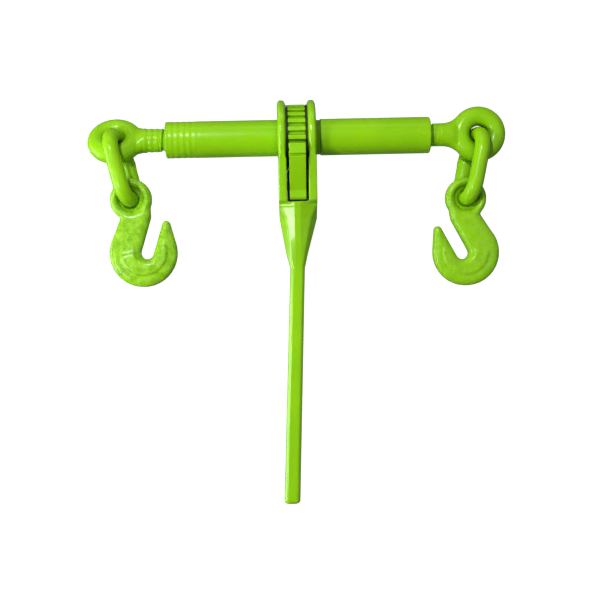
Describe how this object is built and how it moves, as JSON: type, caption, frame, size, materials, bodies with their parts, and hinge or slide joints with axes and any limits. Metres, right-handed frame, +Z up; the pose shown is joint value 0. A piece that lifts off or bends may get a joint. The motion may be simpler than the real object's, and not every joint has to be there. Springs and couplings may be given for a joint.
{
  "type": "ratchet load binder",
  "caption": "Ratchet load binder: a round barrel with a screw eye, link and grab hook at each end, turned by a long handle with a pawl and gear.",
  "frame": {"origin": "on the barrel's axis, midway between the two cheeks of the ratchet head", "axes": "+X along the barrel to the right-hand hook, +Z up, the handle hangs towards -Z"},
  "size_m": [0.396, 0.0752, 0.3817],
  "materials": {
    "lime_paint": "glossy lime green paint",
    "bare_steel": "plain oiled steel"
  },
  "bodies": {
    "hub": {"thrust_washer_left": "bare_steel", "thrust_washer_right": "bare_steel"},
    "handle": {"yoke": "lime_paint", "handle_bar": "lime_paint", "pawl_pin": "bare_steel", "pawl_pin_clip": "bare_steel", "detent_spring": "bare_steel"},
    "pawl": {"pawl": "lime_paint"},
    "plunger": {"detent_plunger": "bare_steel"},
    "barrel": {"barrel_tube": "lime_paint", "ratchet_gear": "lime_paint", "gear_key": "bare_steel"},
    "screw_left": {"screw_eye_left": "lime_paint", "stop_collar_left": "bare_steel", "stop_pin_left": "bare_steel"},
    "link_left": {"link_left": "lime_paint"},
    "hook_left": {"hook_left": "lime_paint"},
    "screw_right": {"screw_eye_right": "lime_paint", "stop_collar_right": "bare_steel", "stop_pin_right": "bare_steel"},
    "link_right": {"link_right": "lime_paint"},
    "hook_right": {"hook_right": "lime_paint"}
  },
  "joints": [
    {"name": "handle_swing", "type": "hinge", "parent": "hub", "child": "handle", "pos_m": [0, 0, 0], "axis": [1, 0, 0], "continuous": true},
    {"name": "pawl_rock", "type": "hinge", "parent": "handle", "child": "pawl", "pos_m": [0, 0, -0.046], "axis": [1, 0, 0], "range_deg": [-4, 4]},
    {"name": "plunger_slide", "type": "slide", "parent": "handle", "child": "plunger", "axis": [0, 0, -1], "range_m": [0, 0.003], "stiffness_N_per_m": 1500, "springref_m": -0.003, "deforming": ["detent_spring"]},
    {"name": "barrel_spin", "type": "hinge", "parent": "hub", "child": "barrel", "pos_m": [0, 0, 0], "axis": [1, 0, 0], "range_deg": [-720, 4320]},
    {"name": "screw_left_travel", "type": "slide", "parent": "hub", "child": "screw_left", "axis": [-1, 0, 0], "range_m": [-0.0101, 0.0601]},
    {"name": "screw_right_travel", "type": "slide", "parent": "hub", "child": "screw_right", "axis": [1, 0, 0], "range_m": [-0.0101, 0.0601]},
    {"name": "link_left_swing", "type": "hinge", "parent": "screw_left", "child": "link_left", "pos_m": [-0.1713, 0, 0], "axis": [0, 0.788, -0.6157], "range_deg": [-12, 90]},
    {"name": "hook_left_swing", "type": "hinge", "parent": "link_left", "child": "hook_left", "pos_m": [-0.1563, -0.01114, -0.05662], "axis": [0, 1, 0], "range_deg": [-60, 60]},
    {"name": "link_right_swing", "type": "hinge", "parent": "screw_right", "child": "link_right", "pos_m": [0.1729, 0, 0], "axis": [0, 1, 0], "range_deg": [-95, 15]},
    {"name": "hook_right_swing", "type": "hinge", "parent": "link_right", "child": "hook_right", "pos_m": [0.15969, 0, -0.06088], "axis": [0, 1, 0], "range_deg": [-60, 60]}
  ],
  "couplings": [
    {"joint": "screw_left_travel", "follows": "barrel_spin", "m_per_rad": 0.00079577},
    {"joint": "screw_right_travel", "follows": "barrel_spin", "m_per_rad": 0.00079577}
  ]
}
